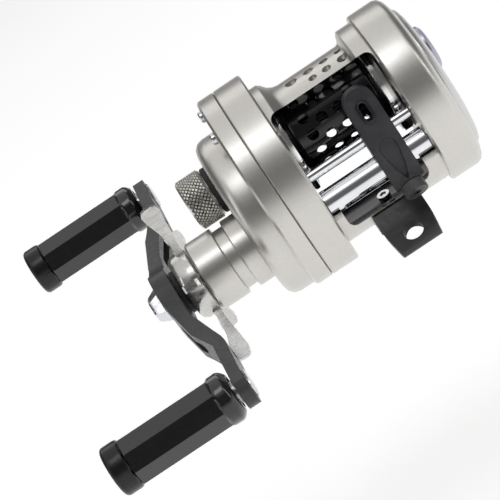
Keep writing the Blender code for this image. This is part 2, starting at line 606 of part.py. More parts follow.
def make_clutch():
    """Pinion that slides off the spool pin, its yoke, posts and springs."""
    teeth = gear_outline(SPOOL, GEAR_MODULE, PINION_TEETH, DRIVE_CLOCK + 180.0 / PINION_TEETH)
    pinion = prism("pinion", [teeth], -20.7, -17.3, side_view, "brass_gear")
    stem = lathe("stem", [(-23.3, 0), (-23.3, 2.75), (-22.7, 2.75), (-22.7, 2.0), (-15.9, 2.0), (-15.9, 2.4),
                          (-13.2, 2.4), (-13.2, 0)], SPOOL, None, 24)
    combine(pinion, [stem], "UNION")
    bore = disc("bore", -24, -12, 1.6, SPOOL, None, 0, 20)
    pin_slot = prism("pin_slot", [rounded_box((-14.7, -4), (-12, 4), (0.1,) * 4)], -0.65, 0.65,
                     radial_frame(SPOOL, 90.0))
    combine(pinion, [bore, pin_slot])

    fork = [yoke_frame(2.25 * math.cos(math.radians(a)), 2.25 * math.sin(math.radians(a)))
            for a in range(180, -1, -20)]
    outline = [yoke_frame(-8.8, -0.8), yoke_frame(-2.25, -0.8)] + fork + [
        yoke_frame(2.25, -0.8), yoke_frame(8.8, -0.8), yoke_frame(8.8, 3.4), yoke_frame(3, 4.2),
        yoke_frame(-3, 4.2), yoke_frame(-8.8, 3.4)]
    holes = [circle(point, 0.95, 14) for point in yoke_points()]
    prism("clutch_yoke", [outline] + holes, -22.45, -21.45, side_view, "bearing_steel")
    for index, point in enumerate(yoke_points(), 1):
        disc(f"yoke_post_{index}", -27.3, -16.0, 0.75, point, "bearing_steel", 0, 14)


def make_thumb_bar():
    """Clutch bar behind the spool: a curved pad between the side rings, with an ear to the left."""
    pad = arc(BODY, 20.2, -56, -80, 8) + arc(BODY, 18.3, -80, -56, 8)
    bar = prism("thumb_bar", [pad], RING_RIGHT + 0.4, PALM_LEFT - 0.4, side_view, "black_anodised")
    ear = prism("ear", [rounded_box((17.35, 24.6), (19.3, 28.6), (0.5,) * 4)], -15.7, RING_RIGHT + 1.0,
                side_view)
    combine(bar, [ear], "UNION")


# Spool --------------------------------------------------------------------------------

def make_spool():
    """Ported drum with its flanges, on a shaft with a cross pin, and its brake."""
    spool = lathe("spool", [
        (-12.0, 2.15), (-12.0, 11.6), (-11.7, FLANGE_RADIUS), (-10.9, FLANGE_RADIUS), (-10.6, 11.6),
        (-9.8, 9.5),
        (-9.2, DRUM_RADIUS), (9.2, DRUM_RADIUS), (9.8, 9.5), (10.3, 11.6), (10.6, FLANGE_RADIUS),
        (12.4, FLANGE_RADIUS), (12.7, 11.7), (12.7, 11.0), (10.9, 11.0), (10.2, 9.4), (10.2, 2.15)],
        SPOOL, "black_anodised", 28, PORT_CLOCK + 180.0 / 28)
    cavity = lathe("cavity", [(-10.3, 3.1), (-10.3, 7.6), (-9.8, 8.1), (8.6, 8.1), (9.1, 7.6), (9.1, 3.1)],
                   SPOOL, None, 28, PORT_CLOCK + 180.0 / 28)
    ports = []
    half_step = 180.0 / PORT_ROWS
    for i in range(2 * PORT_ROWS):
        spread = 2.0 if i % 2 == 0 else 5.5
        for side in (-1, 1):
            ports.append((-0.6 + side * spread, PORT_CLOCK + half_step * i, PORT_RADIUS))
    combine(spool, [cavity])
    combine(spool, [radial_cylinders("ports", SPOOL, ports, 6.0, 10.5, None, 6)])

    lathe("spool_shaft", [(-33.9, 0), (-33.9, 1.2), (-33.6, 1.45), (-12.6, 1.45), (-12.6, 2.0), (10.4, 2.0),
                          (10.4, 1.5), (18.3, 1.5), (18.6, 1.2), (18.6, 0)], SPOOL, "chrome_steel", 20)
    pin_hole = radial_cylinders("pin_hole", SPOOL, [(-13.8, 0, 0.55)], -3, 3, None, 10)
    combine(bpy.data.objects["spool_shaft"], [pin_hole])
    radial_cylinders("spool_pin", SPOOL, [(-13.8, 0, 0.45)], -2.2, 2.2, "bearing_steel", 10)
    disc("spool_bearing_left", -33.4, -31.4, 2.6, SPOOL, "bearing_steel", 1.6, 20)
    disc("spool_bearing_right", 16.6, 18.4, 4.0, SPOOL, "bearing_steel", 1.65, 24)
    lathe("brake_rotor", [(11.6, 1.65), (11.6, 7.6), (15.6, 7.6), (15.6, 7.0), (12.3, 7.0), (12.3, 1.65)],
          SPOOL, "polished_aluminium", 24)


# Palm side ----------------------------------------------------------------------------

def make_palm_side():
    """Domed palm cover with the bearing seat, the magnet ring and the brake dial."""
    rim = 17.0 - GAP
    cover = lathe("palm_cover", [
        (15.0, rim - 1.2), (15.0, rim), (21.7, rim), (22.4, 16.0), (22.9, 14.4), (23.3, 11.5), (23.55, 7.5),
        (23.7, 3.0), (23.75, 0), (22.3, 0), (22.2, 6.0), (21.8, 12.0), (21.2, rim - 1.2)],
        BODY, "satin_aluminium", 32)
    seat = disc("seat", 16.3, 22.6, 5.4, SPOOL, None, 0, 24)
    combine(cover, [seat], "UNION")
    cutters = [disc("seat_bore", 15, 20.0, 4.15, SPOOL, None, 0, 24),
               disc("dial_pocket", 23.0, 26, 5.5, SPOOL, None, 0, 28),
               disc("dial_bore", 19, 24, 1.65, SPOOL, None, 0, 20)]
    combine(cover, cutters)
    disc("brake_magnet_ring", 13.4, 16.1, 9.4, SPOOL, "bearing_steel", 8.2, 24)
    lathe("brake_dial", [(25.0, 0), (25.0, 3.4), (24.8, 4.4), (24.2, 5.25), (23.3, 5.25), (23.3, 1.5),
                         (20.6, 1.5),
                         (20.6, 0)], SPOOL, "satin_aluminium", 28)


# Level wind ---------------------------------------------------------------------------

def make_level_wind():
    """Worm shaft in its tube, guide rod, and the line guide that rides on both."""
    wall_gap = 0.2
    left, right = RING_RIGHT + wall_gap, PALM_LEFT - wall_gap
    tube = disc("worm_tube", left, right, 2.95, WORM, "chrome_steel", 2.35, 20)
    place = radial_frame(WORM, PAWL_CLOCK)
    slot = prism("slot", [rounded_box((-9.3, -1.1), (8.9, 1.1), (1.0,) * 4)], 0.5, 4, place)
    combine(tube, [slot])
    disc("guide_rod", left, right, 1.2, GUIDE_ROD, "chrome_steel", 0, 20)
    lathe("worm_shaft", [(-15.7, 0), (-15.7, 1.1), (-11.9, 1.1), (-11.9, 1.9), (12.8, 1.9), (12.8, 1.1),
                         (14.4, 1.1), (14.4, 0)], WORM, "bearing_steel", 16)
    disc("worm_bushing_left", WALL_LEFT + 0.05, RING_RIGHT - 0.05, 2.2, WORM, "white_polymer", 1.25, 20)
    disc("worm_bushing_right", PALM_LEFT + 0.05, PALM_WALL - 0.05, 2.2, WORM, "white_polymer", 1.25, 20)
    teeth = gear_outline(WORM, WIND_MODULE, WORM_TEETH, WORM_CLOCK + 180.0 + 180.0 / WORM_TEETH)
    prism("worm_gear", [teeth, circle(WORM, 1.25, 16)], -15.5, -14.6, side_view, "white_polymer")
    make_line_guide()


def make_line_guide():
    """Carriage seen from the side: rings round the tube and the rod, and the arm up to the eye."""
    low, high = GUIDE_CENTRE - GUIDE_WIDTH / 2, GUIDE_CENTRE + GUIDE_WIDTH / 2
    base = AXIS_HEIGHT
    profile = [(-16.6, base - 11.0), (-18.0, base - 10.0), (-18.5, base - 6.0), (-18.3, base),
               (-17.5, base + 5.5),
               (-16.6, base + 9.5), (-15.6, base + 12.65), (-13.4, base + 12.65), (-13.6, base + 8.0),
               (-14.0, base + 4.6), (-13.0, base + 2.8), (-11.5, base + 2.8), (-10.0, base + 2.3),
               (-9.4, base + 0.6), (-9.7, base - 1.2), (-9.3, base - 3.6), (-8.8, base - 5.9),
               (-9.4, base - 8.3),
               (-11.2, base - 9.9), (-13.1, base - 10.3)]
    guide = prism("line_guide", [profile, circle(WORM, 3.1, 28), circle(GUIDE_ROD, 1.35, 20)],
                  low, high, side_view, "black_anodised")
    shape = [(low, base - 13), (high, base - 13)]
    for i in range(13):
        turn = math.radians(15 * i)
        radius = GUIDE_WIDTH / 2
        shape.append((GUIDE_CENTRE + radius * math.cos(turn), base + 9.2 + radius * math.sin(turn)))
    combine(guide, [prism("front_shape", [shape], -30, 0, front_view)], "INTERSECT")
    housing = make_pawl_piece("pawl_housing", 3.5, 6.3, 2.7, None, 20)
    combine(guide, [housing], "UNION")
    eye = rounded_box((GUIDE_CENTRE - 1.2, base + 5.1), (GUIDE_CENTRE + 1.2, base + 9.9), (1.15,) * 4)
    cutters = [prism("eye", [eye], -30, -10, front_view), make_pawl_piece("pawl_hole", 1.0, 8, 1.05, None,
                                                                          16)]
    combine(guide, cutters)
    combine(guide, [disc("tube_hole", low - 1, high + 1, 3.1, WORM, None, 0, 28)])
    make_pawl_piece("pawl", 2.05, 6.2, 0.9, "brass_gear", 16)
    cap = make_pawl_piece("pawl_cap", 6.45, 8.7, 2.6, "black_anodised", 20)
    combine(cap, [make_pawl_piece("driver_slot", 8.1, 9.5, 0.9, None, 6)])


def make_pawl_piece(name, low, high, radius, finish, sides):
    """A cylinder on the pawl's line, between two distances from the worm axis."""
    return radial_cylinders(name, WORM, [(GUIDE_CENTRE, PAWL_CLOCK, radius)], low, high, finish, sides)


# Cast control -------------------------------------------------------------------------

def make_cast_control():
    """Tension knob on the threaded stub, its O-ring, and the washer it presses on the shaft."""
    lathe("tension_knob", [(-36.3, 0), (-36.3, 5.3), (-35.9, 5.8), (-30.8, 5.8), (-30.5, 5.5), (-30.5, 4.4),
                           (-34.95, 4.4), (-34.95, 0)], SPOOL, "knurled_steel", 28)
    lathe("knob_ring", [(-30.35, 4.4), (-30.35, 5.1), (-30.1, 5.4), (-29.2, 5.4), (-28.95, 5.1),
                        (-28.95, 4.4)],
          SPOOL, "black_rubber", 20)
    disc("tension_washer", -34.8, -34.25, 3.6, SPOOL, "brass_gear", 0, 20)


def main():
    for obj in list(bpy.data.objects):
        bpy.data.objects.remove(obj)
    for collection in (parts, tools):
        bpy.context.scene.collection.children.link(collection)
    make_frame()
    make_foot()
    make_side_plate()
    make_set_plate()
    make_drive_train()
    make_star_drag()
    make_handle()
    make_clutch()
    make_thumb_bar()
    make_spool()
    make_palm_side()
    make_level_wind()
    make_cast_control()


main()
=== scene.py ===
"""Looks for the round baitcasting reel: materials, fine pieces, floor, light and camera.

Everything is in metres in the part's own frame: +X towards the palm side, +Y to the rear, +Z up.
Lengths written in millimetres are turned into metres with MM.
"""
import json
import math

import bmesh
import bpy
from mathutils import Matrix, Vector


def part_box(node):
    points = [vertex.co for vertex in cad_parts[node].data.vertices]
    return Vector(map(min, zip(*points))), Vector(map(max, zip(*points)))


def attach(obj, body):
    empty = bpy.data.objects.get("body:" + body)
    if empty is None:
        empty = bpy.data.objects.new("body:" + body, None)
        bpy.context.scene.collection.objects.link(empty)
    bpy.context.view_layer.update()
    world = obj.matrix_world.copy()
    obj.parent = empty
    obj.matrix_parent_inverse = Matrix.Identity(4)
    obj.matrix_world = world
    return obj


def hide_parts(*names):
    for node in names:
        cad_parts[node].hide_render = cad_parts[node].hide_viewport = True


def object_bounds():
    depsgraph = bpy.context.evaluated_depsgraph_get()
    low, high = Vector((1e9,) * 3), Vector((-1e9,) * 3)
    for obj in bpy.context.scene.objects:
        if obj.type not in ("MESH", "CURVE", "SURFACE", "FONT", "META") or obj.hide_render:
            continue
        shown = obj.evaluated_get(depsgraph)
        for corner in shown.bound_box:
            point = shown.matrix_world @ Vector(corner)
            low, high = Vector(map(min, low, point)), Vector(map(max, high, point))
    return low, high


MM = 0.001

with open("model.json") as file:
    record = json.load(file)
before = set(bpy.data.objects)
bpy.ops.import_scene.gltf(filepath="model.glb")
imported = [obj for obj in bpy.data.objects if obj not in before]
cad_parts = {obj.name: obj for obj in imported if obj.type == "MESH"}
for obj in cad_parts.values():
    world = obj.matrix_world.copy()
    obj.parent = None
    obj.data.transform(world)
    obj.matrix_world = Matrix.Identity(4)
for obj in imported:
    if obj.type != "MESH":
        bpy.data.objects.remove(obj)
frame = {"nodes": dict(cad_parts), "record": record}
cad_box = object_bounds()
nodes = frame["nodes"]

# Colours, as linear red, green and blue
ALUMINIUM = (0.66, 0.64, 0.605)
ALUMINIUM_COOL = (0.66, 0.652, 0.65)
BRIGHT = (0.86, 0.86, 0.855)
SATIN = (0.62, 0.61, 0.59)
STEEL = (0.60, 0.61, 0.62)
BLACK = (0.006, 0.006, 0.0062)
CHARCOAL = (0.011, 0.0105, 0.0115)
BRASS = (0.72, 0.52, 0.23)
IVORY = (0.75, 0.73, 0.66)
RUBBER = (0.018, 0.018, 0.018)
CHROME = (0.83, 0.84, 0.86)
SCREW_STEEL = (0.7, 0.71, 0.74)
LILAC_GREY = (0.42, 0.42, 0.5)
KNURL_CREST = (0.74, 0.73, 0.69)
# Painted shade: the knurl's grooves are coloured darker in place of the shade that falls in them.
KNURL_GROOVE_SHADE = (0.36, 0.355, 0.34)
GRIP_BLACK = (0.006, 0.006, 0.0065)
WORN_EDGE = (0.09, 0.09, 0.092)
CARBON = (0.03, 0.03, 0.032)
CARBON_DARK = (0.018, 0.018, 0.02)
CARBON_LIGHT = (0.06, 0.06, 0.064)
FLOOR_WHITE = (0.9, 0.9, 0.895)

# Camera; lengths in millimetres
VIEW_LIFT = 20.0                # degrees above level
VIEW_SIDE = 2.4                 # degrees towards the palm side
VIEW_ROLL = 34.5                # the spool axis rises this far to the right in the picture
VIEW_DISTANCE = 480.0
VIEW_LENS = 164.5
VIEW_AIM = (-30.5, -9.0)        # along X, and up in the picture, from the frame's axis

FLOOR_REACH = 1.6               # metres from the middle to each side
FLOOR_DROP = 0.07               # metres below the reel's lowest point
FLOOR_GLOW = 0.42

# Height of the surroundings, from 0 straight down to 1 straight up, and their brightness there
SKY_BANDS = ((0.0, 0.9), (1.0, 1.0), (0.5, 0.8), (0.56, 0.15), (0.83, 0.17), (0.92, 1.0))
SKY_STRENGTH = 0.8

SMOOTH_ANGLE = 32.0             # edges bent by more than this, in degrees, stay sharp
WELD_REACH = 1e-6               # metres
IMPORTED_NORMALS = "custom_normal"


# Places taken from the frame ----------------------------------------------------------

def centre(node):
    """Middle of a CAD node's box, in millimetres."""
    low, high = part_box(node)
    return (low + high) / 2 / MM


BODY_AXIS = centre("set_plate")
SPOOL_AXIS = centre("spool_bearing_right")
WORM_AXIS = centre("worm_bushing_left")


def polar(axis, clock, radius):
    """The (y, z) point at a clock angle and radius from an axis; 0 is up and 90 is to the front."""
    angle = math.radians(clock)
    return (axis.y - radius * math.sin(angle), axis.z + radius * math.cos(angle))


# Shader helpers -----------------------------------------------------------------------

class Shader:
    """A node material that is built up step by step."""

    def __init__(self, name, colour, roughness, metallic):
        self.material = bpy.data.materials.new(name)
        self.material.use_nodes = True
        self.tree = self.material.node_tree
        self.principled = self.tree.nodes["Principled BSDF"]
        self.principled.inputs["Base Color"].default_value = (*colour, 1)
        self.principled.inputs["Roughness"].default_value = roughness
        self.principled.inputs["Metallic"].default_value = metallic
        self.coordinates = self.add("ShaderNodeTexCoord").outputs["Object"]
        self.normal = None

    def add(self, kind, **settings):
        node = self.tree.nodes.new(kind)
        for key, value in settings.items():
            setattr(node, key, value)
        return node

    def link(self, output, target):
        self.tree.links.new(output, target)

    def noise(self, scale, detail=3.0, stretch=(1, 1, 1)):
        """A noise value between 0 and 1, with scale in cycles for each metre."""
        mapping = self.add("ShaderNodeMapping")
        mapping.inputs["Scale"].default_value = stretch
        self.link(self.coordinates, mapping.inputs["Vector"])
        texture = self.add("ShaderNodeTexNoise")
        texture.inputs["Scale"].default_value = scale
        texture.inputs["Detail"].default_value = detail
        self.link(mapping.outputs["Vector"], texture.inputs["Vector"])
        return texture.outputs["Fac"]

    def turning_rings(self, axis, scale):
        """Rings round an axis parallel to X, as a lathe tool leaves on a face."""
        mapping = self.add("ShaderNodeMapping")
        mapping.inputs["Location"].default_value = (0, -axis.y * MM, -axis.z * MM)
        self.link(self.coordinates, mapping.inputs["Vector"])
        texture = self.add("ShaderNodeTexWave", wave_type="RINGS", rings_direction="X")
        texture.inputs["Scale"].default_value = scale
        texture.inputs["Distortion"].default_value = 0.4
        self.link(mapping.outputs["Vector"], texture.inputs["Vector"])
        return texture.outputs["Fac"]

    def spread(self, value, low, high):
        """Maps a value from the middle of its range to between low and high."""
        node = self.add("ShaderNodeMapRange")
        node.inputs["From Min"].default_value = 0.3
        node.inputs["From Max"].default_value = 0.7
        node.inputs["To Min"].default_value = low
        node.inputs["To Max"].default_value = high
        self.link(value, node.inputs["Value"])
        return node.outputs["Result"]

    def vary_roughness(self, value, low, high):
        self.link(self.spread(value, low, high), self.principled.inputs["Roughness"])

    def vary_colour(self, value, dark, light):
        """Blends between two colours."""
        mix = self.add("ShaderNodeMix", data_type="RGBA")
        mix.inputs[6].default_value = (*dark, 1)
        mix.inputs[7].default_value = (*light, 1)
        self.link(self.spread(value, 0.0, 1.0), mix.inputs[0])
        self.link(mix.outputs[2], self.principled.inputs["Base Color"])
        return mix

    def round_edges(self, radius):
        """Softens hard edges in the shading, as a deburring pass does."""
        bevel = self.add("ShaderNodeBevel", samples=4)
        bevel.inputs["Radius"].default_value = radius * MM
        self.normal = bevel.outputs["Normal"]

    def bump(self, value, depth, strength=1.0):
        """Adds relief of a depth in millimetres on top of what is there."""
        node = self.add("ShaderNodeBump")
        node.inputs["Strength"].default_value = strength
        node.inputs["Distance"].default_value = depth * MM
        self.link(value, node.inputs["Height"])
        if self.normal:
            self.link(self.normal, node.inputs["Normal"])
        self.normal = node.outputs["Normal"]

    def done(self):
        if self.normal:
            self.link(self.normal, self.principled.inputs["Normal"])
        return self.material


def tone(colour, factor):
    """A colour made darker or lighter."""
    return tuple(min(1.0, channel * factor) for channel in colour)


def blasted_metal(name, colour, roughness=0.33, edge=0.25):
    """Bead-blasted aluminium: a fine even grain and an even sheen."""
    shader = Shader(name, colour, roughness, 0.97)
    shader.vary_colour(shader.noise(2600, 3), tone(colour, 0.96), tone(colour, 1.03))
    shader.vary_roughness(shader.noise(3400, 3), roughness * 0.9, roughness * 1.12)
    if edge:
        shader.round_edges(edge)
    shader.bump(shader.noise(6200, 2), 0.012, 0.3)
    return shader.done()


def turned_metal(name, colour, axis, roughness, edge=0.12):
    """Bright metal turned on a lathe, with rings round its axis."""
    shader = Shader(name, colour, roughness, 1.0)
    shader.vary_colour(shader.noise(90, 3), tone(colour, 0.95), tone(colour, 1.03))
    shader.vary_roughness(shader.noise(700, 4, (6, 1, 1)), roughness * 0.75, roughness * 1.4)
    shader.round_edges(edge)
    shader.bump(shader.turning_rings(axis, 420), 0.006, 0.4)
    return shader.done()


def polished_metal(name, colour, roughness, edge=0.15):
    """Mirror-like metal with faint wipe marks."""
    shader = Shader(name, colour, roughness, 1.0)
    shader.vary_colour(shader.noise(140, 3), tone(colour, 0.94), tone(colour, 1.03))
    shader.vary_roughness(shader.noise(420, 6, (1, 3, 3)), roughness * 0.6, roughness * 1.7)
    shader.round_edges(edge)
    shader.bump(shader.noise(260, 2), 0.004, 0.2)
    return shader.done()


def ground_steel(name):
    """Ground shaft and bearing steel with fine marks across its length."""
    shader = Shader(name, STEEL, 0.2, 1.0)
    shader.vary_roughness(shader.noise(1600, 3, (5, 1, 1)), 0.14, 0.3)
    shader.round_edges(0.08)
    shader.bump(shader.noise(2600, 2, (8, 1, 1)), 0.005, 0.3)
    return shader.done()


def stamped_steel(name):
    """Flat stamped steel with a dull brushed surface."""
    shader = Shader(name, STEEL, 0.35, 1.0)
    shader.vary_colour(shader.noise(300, 4), tone(STEEL, 0.8), STEEL)
    shader.vary_roughness(shader.noise(1500, 3, (1, 1, 8)), 0.25, 0.45)
    shader.bump(shader.noise(2400, 2, (1, 1, 8)), 0.008, 0.3)
    return shader.done()


def black_finish(name, colour, roughness, grain, edge=0.2, coat=0.0):
    """Black anodised or painted surface: fine grain, and a paler worn line along its edges."""
    shader = Shader(name, colour, roughness, 0.0)
    mix = shader.vary_colour(shader.noise(240, 4), tone(colour, 0.8), tone(colour, 1.35))
    pointiness = shader.add("ShaderNodeNewGeometry").outputs["Pointiness"]
    wear = shader.add("ShaderNodeMapRange")
    wear.inputs["From Min"].default_value = 0.56
    wear.inputs["From Max"].default_value = 0.68
    shader.link(pointiness, wear.inputs["Value"])
    worn = shader.add("ShaderNodeMix", data_type="RGBA")
    worn.inputs[7].default_value = (*WORN_EDGE, 1)
    shader.link(wear.outputs["Result"], worn.inputs[0])
    shader.link(mix.outputs[2], worn.inputs[6])
    shader.link(worn.outputs[2], shader.principled.inputs["Base Color"])
    shader.vary_roughness(shader.noise(1100, 4), roughness * 0.8, roughness * 1.25)
    shader.principled.inputs["Specular IOR Level"].default_value = 0.3
    shader.principled.inputs["Coat Weight"].default_value = coat
    shader.principled.inputs["Coat Roughness"].default_value = 0.06
    shader.round_edges(edge)
    shader.bump(shader.noise(4200, 2), 0.012, grain)
    return shader.done()


def machined_brass(name):
    """Cut brass with slight tarnish."""
    shader = Shader(name, BRASS, 0.28, 1.0)
    shader.vary_colour(shader.noise(420, 5), tone(BRASS, 0.72), BRASS)
    shader.vary_roughness(shader.noise(1500, 3), 0.2, 0.4)
    shader.bump(shader.noise(3200, 2, (6, 1, 1)), 0.006, 0.3)
    return shader.done()


def moulded_polymer(name, colour):
    """Moulded gear or bushing polymer with a fine texture."""
    shader = Shader(name, colour, 0.45, 0.0)
    shader.vary_colour(shader.noise(500, 3), tone(colour, 0.92), colour)
    shader.vary_roughness(shader.noise(1800, 3), 0.38, 0.55)
    shader.principled.inputs["Subsurface Weight"].default_value = 0.05
    shader.bump(shader.noise(4000, 2), 0.008, 0.4)
    return shader.done()


def woven_carbon(name):
    """Drag washer weave: two crossing sets of dark bands."""
    shader = Shader(name, CARBON, 0.4, 0.0)
    weave = shader.add("ShaderNodeTexChecker")
    weave.inputs["Scale"].default_value = 1400
    weave.inputs["Color1"].default_value = (*CARBON_DARK, 1)
    weave.inputs["Color2"].default_value = (*CARBON_LIGHT, 1)
    shader.link(shader.coordinates, weave.inputs["Vector"])
    shader.link(weave.outputs["Color"], shader.principled.inputs["Base Color"])
    shader.bump(weave.outputs["Fac"], 0.02, 0.5)
    return shader.done()


def soft_rubber(name):
    """O-ring rubber with a dusty sheen."""
    shader = Shader(name, RUBBER, 0.65, 0.0)
    shader.vary_colour(shader.noise(600, 4), tone(RUBBER, 0.7), tone(RUBBER, 1.6))
    shader.vary_roughness(shader.noise(2200, 3), 0.55, 0.8)
    shader.bump(shader.noise(3800, 2), 0.012, 0.5)
    return shader.done()


LOOKS = {
    "frame_metal": blasted_metal("frame_metal_look", ALUMINIUM),
    "cover_metal": blasted_metal("cover_metal_look", ALUMINIUM),
    "palm_metal": blasted_metal("palm_metal_look", ALUMINIUM_COOL),
    "dial_metal": turned_metal("dial_metal_look", LILAC_GREY, SPOOL_AXIS, 0.3),
    "star_metal": polished_metal("star_metal_look", SATIN, 0.22, 0.06),
    "spool_metal": black_finish("spool_metal_look", BLACK, 0.2, 0.1, 0.1, 0.5),
    "spool_rim": polished_metal("spool_rim_look", BRIGHT, 0.09),
    "brake_metal": turned_metal("brake_metal_look", BRIGHT, SPOOL_AXIS, 0.15),
    "arm_metal": black_finish("arm_metal_look", CHARCOAL, 0.34, 0.5),
    "guide_metal": black_finish("guide_metal_look", tone(CHARCOAL, 3.2), 0.42, 0.5),
    "foot_metal": black_finish("foot_metal_look", BLACK, 0.4, 0.6),
    "thumb_bar_finish": black_finish("thumb_bar_look", CHARCOAL, 0.42, 0.7),
    "knob_grip_finish": black_finish("knob_grip_look", GRIP_BLACK, 0.16, 0.1, 0.22, 1.0),
    "knob_cap_finish": black_finish("knob_cap_look", BLACK, 0.3, 0.3, 0.2, 0.2),
    "tube_chrome": polished_metal("tube_chrome_look", CHROME, 0.06),
    "shaft_steel": ground_steel("shaft_steel_look"),
    "screw_steel": polished_metal("screw_steel_look", SCREW_STEEL, 0.18, 0.12),
    "knurled_metal": blasted_metal("knurled_metal_look", KNURL_CREST, 0.28, 0),
    # Painted shade for the knurl's grooves.
    "knurl_groove_shade": blasted_metal("knurl_groove_shade_look", KNURL_GROOVE_SHADE, 0.4, 0),
    "bearing_steel": ground_steel("bearing_steel_look"),
    "inner_steel": stamped_steel("inner_steel_look"),
    "gear_brass": machined_brass("gear_brass_look"),
    "wind_gear_polymer": moulded_polymer("wind_gear_look", IVORY),
    "carbon": woven_carbon("carbon_look"),
    "black_rubber": soft_rubber("black_rubber_look"),
    # Painted shade: black for the inside of the frame's barrel, standing in for the shade and dark
    # reflections there; the metal is the frame's own.
    "painted_barrel_shade": black_finish("painted_barrel_shade_look", BLACK, 0.18, 0.1, 0.1, 0.4),
}


# Mesh helpers -------------------------------------------------------------------------

def smoothing_group():
    """A modifier that shades faces smooth and leaves edges over SMOOTH_ANGLE sharp."""
    group = bpy.data.node_groups.new("smooth_below_angle", "GeometryNodeTree")
    group.interface.new_socket("Geometry", in_out="INPUT", socket_type="NodeSocketGeometry")
    group.interface.new_socket("Geometry", in_out="OUTPUT", socket_type="NodeSocketGeometry")
    source = group.nodes.new("NodeGroupInput")
    target = group.nodes.new("NodeGroupOutput")
    plain = group.nodes.new("GeometryNodeRemoveAttribute")
    plain.inputs["Name"].default_value = IMPORTED_NORMALS
    faces = group.nodes.new("GeometryNodeSetShadeSmooth")
    faces.domain = "FACE"
    edges = group.nodes.new("GeometryNodeSetShadeSmooth")
    edges.domain = "EDGE"
    angle = group.nodes.new("GeometryNodeInputMeshEdgeAngle")
    flat = group.nodes.new("FunctionNodeCompare")
    flat.data_type = "FLOAT"
    flat.operation = "LESS_THAN"
    flat.inputs["B"].default_value = math.radians(SMOOTH_ANGLE)
    group.links.new(source.outputs[0], plain.inputs["Geometry"])
    group.links.new(plain.outputs["Geometry"], faces.inputs["Geometry"])
    group.links.new(faces.outputs[0], edges.inputs["Geometry"])
    group.links.new(angle.outputs["Unsigned Angle"], flat.inputs["A"])
    group.links.new(flat.outputs["Result"], edges.inputs["Shade Smooth"])
    group.links.new(edges.outputs[0], target.inputs[0])
    return group


SMOOTHING = smoothing_group()


def painted_inner_shade_group(axis, radius, low, high, material):
    """A modifier that paints the faces inside a barrel about an axis parallel to X with a dark material, as
    painted shade.
    """
    group = bpy.data.node_groups.new("painted_inner_shade", "GeometryNodeTree")
    group.interface.new_socket("Geometry", in_out="INPUT", socket_type="NodeSocketGeometry")
    group.interface.new_socket("Geometry", in_out="OUTPUT", socket_type="NodeSocketGeometry")

    def add(kind, **settings):
        node = group.nodes.new(kind)
        for key, value in settings.items():
            setattr(node, key, value)
        return node

    def vector_math(operation, first, second):
        node = add("ShaderNodeVectorMath", operation=operation)
        group.links.new(first, node.inputs[0])
        if isinstance(second, tuple):
            node.inputs[1].default_value = second
        else:
            group.links.new(second, node.inputs[1])
        return node

    def compare(operation, value, limit):
        node = add("FunctionNodeCompare", data_type="FLOAT", operation=operation)
        group.links.new(value, node.inputs["A"])
        node.inputs["B"].default_value = limit
        return node.outputs["Result"]

    def both(first, second):
        node = add("FunctionNodeBooleanMath", operation="AND")
        group.links.new(first, node.inputs[0])
        group.links.new(second, node.inputs[1])
        return node.outputs[0]

    position = add("GeometryNodeInputPosition").outputs[0]
    away = vector_math("SUBTRACT", position, (0, axis.y * MM, axis.z * MM)).outputs[0]
    away = vector_math("MULTIPLY", away, (0, 1, 1)).outputs[0]
    reach = add("ShaderNodeVectorMath", operation="LENGTH")
    group.links.new(away, reach.inputs[0])
    facing = vector_math("DOT_PRODUCT", away, add("GeometryNodeInputNormal").outputs[0])
    split = add("ShaderNodeSeparateXYZ")
    group.links.new(position, split.inputs[0])
    inside = both(compare("LESS_THAN", reach.outputs["Value"], radius * MM),
                  compare("LESS_THAN", facing.outputs["Value"], -INWARD_SHARE * radius * MM))
    between = both(compare("GREATER_THAN", split.outputs["X"], low * MM),
                   compare("LESS_THAN", split.outputs["X"], high * MM))
    finish = add("GeometryNodeSetMaterial")
    finish.inputs["Material"].default_value = material
    source, target = add("NodeGroupInput"), add("NodeGroupOutput")
    group.links.new(source.outputs[0], finish.inputs["Geometry"])
    group.links.new(both(inside, between), finish.inputs["Selection"])
    group.links.new(finish.outputs[0], target.inputs[0])
    return group


def clean_shading(obj):
    """Joins the doubled corners of a CAD node and shades it by angle; its mesh stays as it is."""
    weld = obj.modifiers.new("weld", "WELD")
    weld.merge_threshold = WELD_REACH
    smooth = obj.modifiers.new("smooth", "NODES")
    smooth.node_group = SMOOTHING


def add_mesh(name, bm, materials):
    """Turns a bmesh into a piece with smooth faces and sharp hard edges."""
    bmesh.ops.remove_doubles(bm, verts=bm.verts, dist=1e-7)
    bmesh.ops.recalc_face_normals(bm, faces=bm.faces)
    mesh = bpy.data.meshes.new(name)
    bm.to_mesh(mesh)
    bm.free()
    mesh.shade_smooth()
    mesh.set_sharp_from_angle(angle=math.radians(SMOOTH_ANGLE))
    if IMPORTED_NORMALS in mesh.attributes:
        mesh.attributes.remove(mesh.attributes[IMPORTED_NORMALS])
    for material in materials:
        mesh.materials.append(material)
    obj = bpy.data.objects.new(name, mesh)
    bpy.context.scene.collection.objects.link(obj)
    return obj


def place_piece(obj, body, stands_for=()):
    """Rides a piece on its body and hides the CAD nodes it stands for."""
    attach(obj, body)
    if stands_for:
        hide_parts(*stands_for)
    return obj


def turned(name, outline, axis, materials, sides=96, phase=0.0):
    """Turns an outline of (x, radius) about an axis parallel to X into a closed body."""
    bm = bmesh.new()
    angle = math.radians(phase)
    ring = [bm.verts.new((x * MM, -r * math.sin(angle) * MM, r * math.cos(angle) * MM)) for x, r in outline]
    edges = [bm.edges.new(pair) for pair in zip(ring, ring[1:])]
    if outline[0][1] > 0:
        edges.append(bm.edges.new((ring[-1], ring[0])))
    bmesh.ops.spin(bm, geom=ring + edges, cent=(0, 0, 0), axis=(1, 0, 0), angle=2 * math.pi, steps=sides,
                   use_merge=True)
    bmesh.ops.translate(bm, verts=bm.verts, vec=(0, axis.y * MM, axis.z * MM))
    return add_mesh(name, bm, materials)


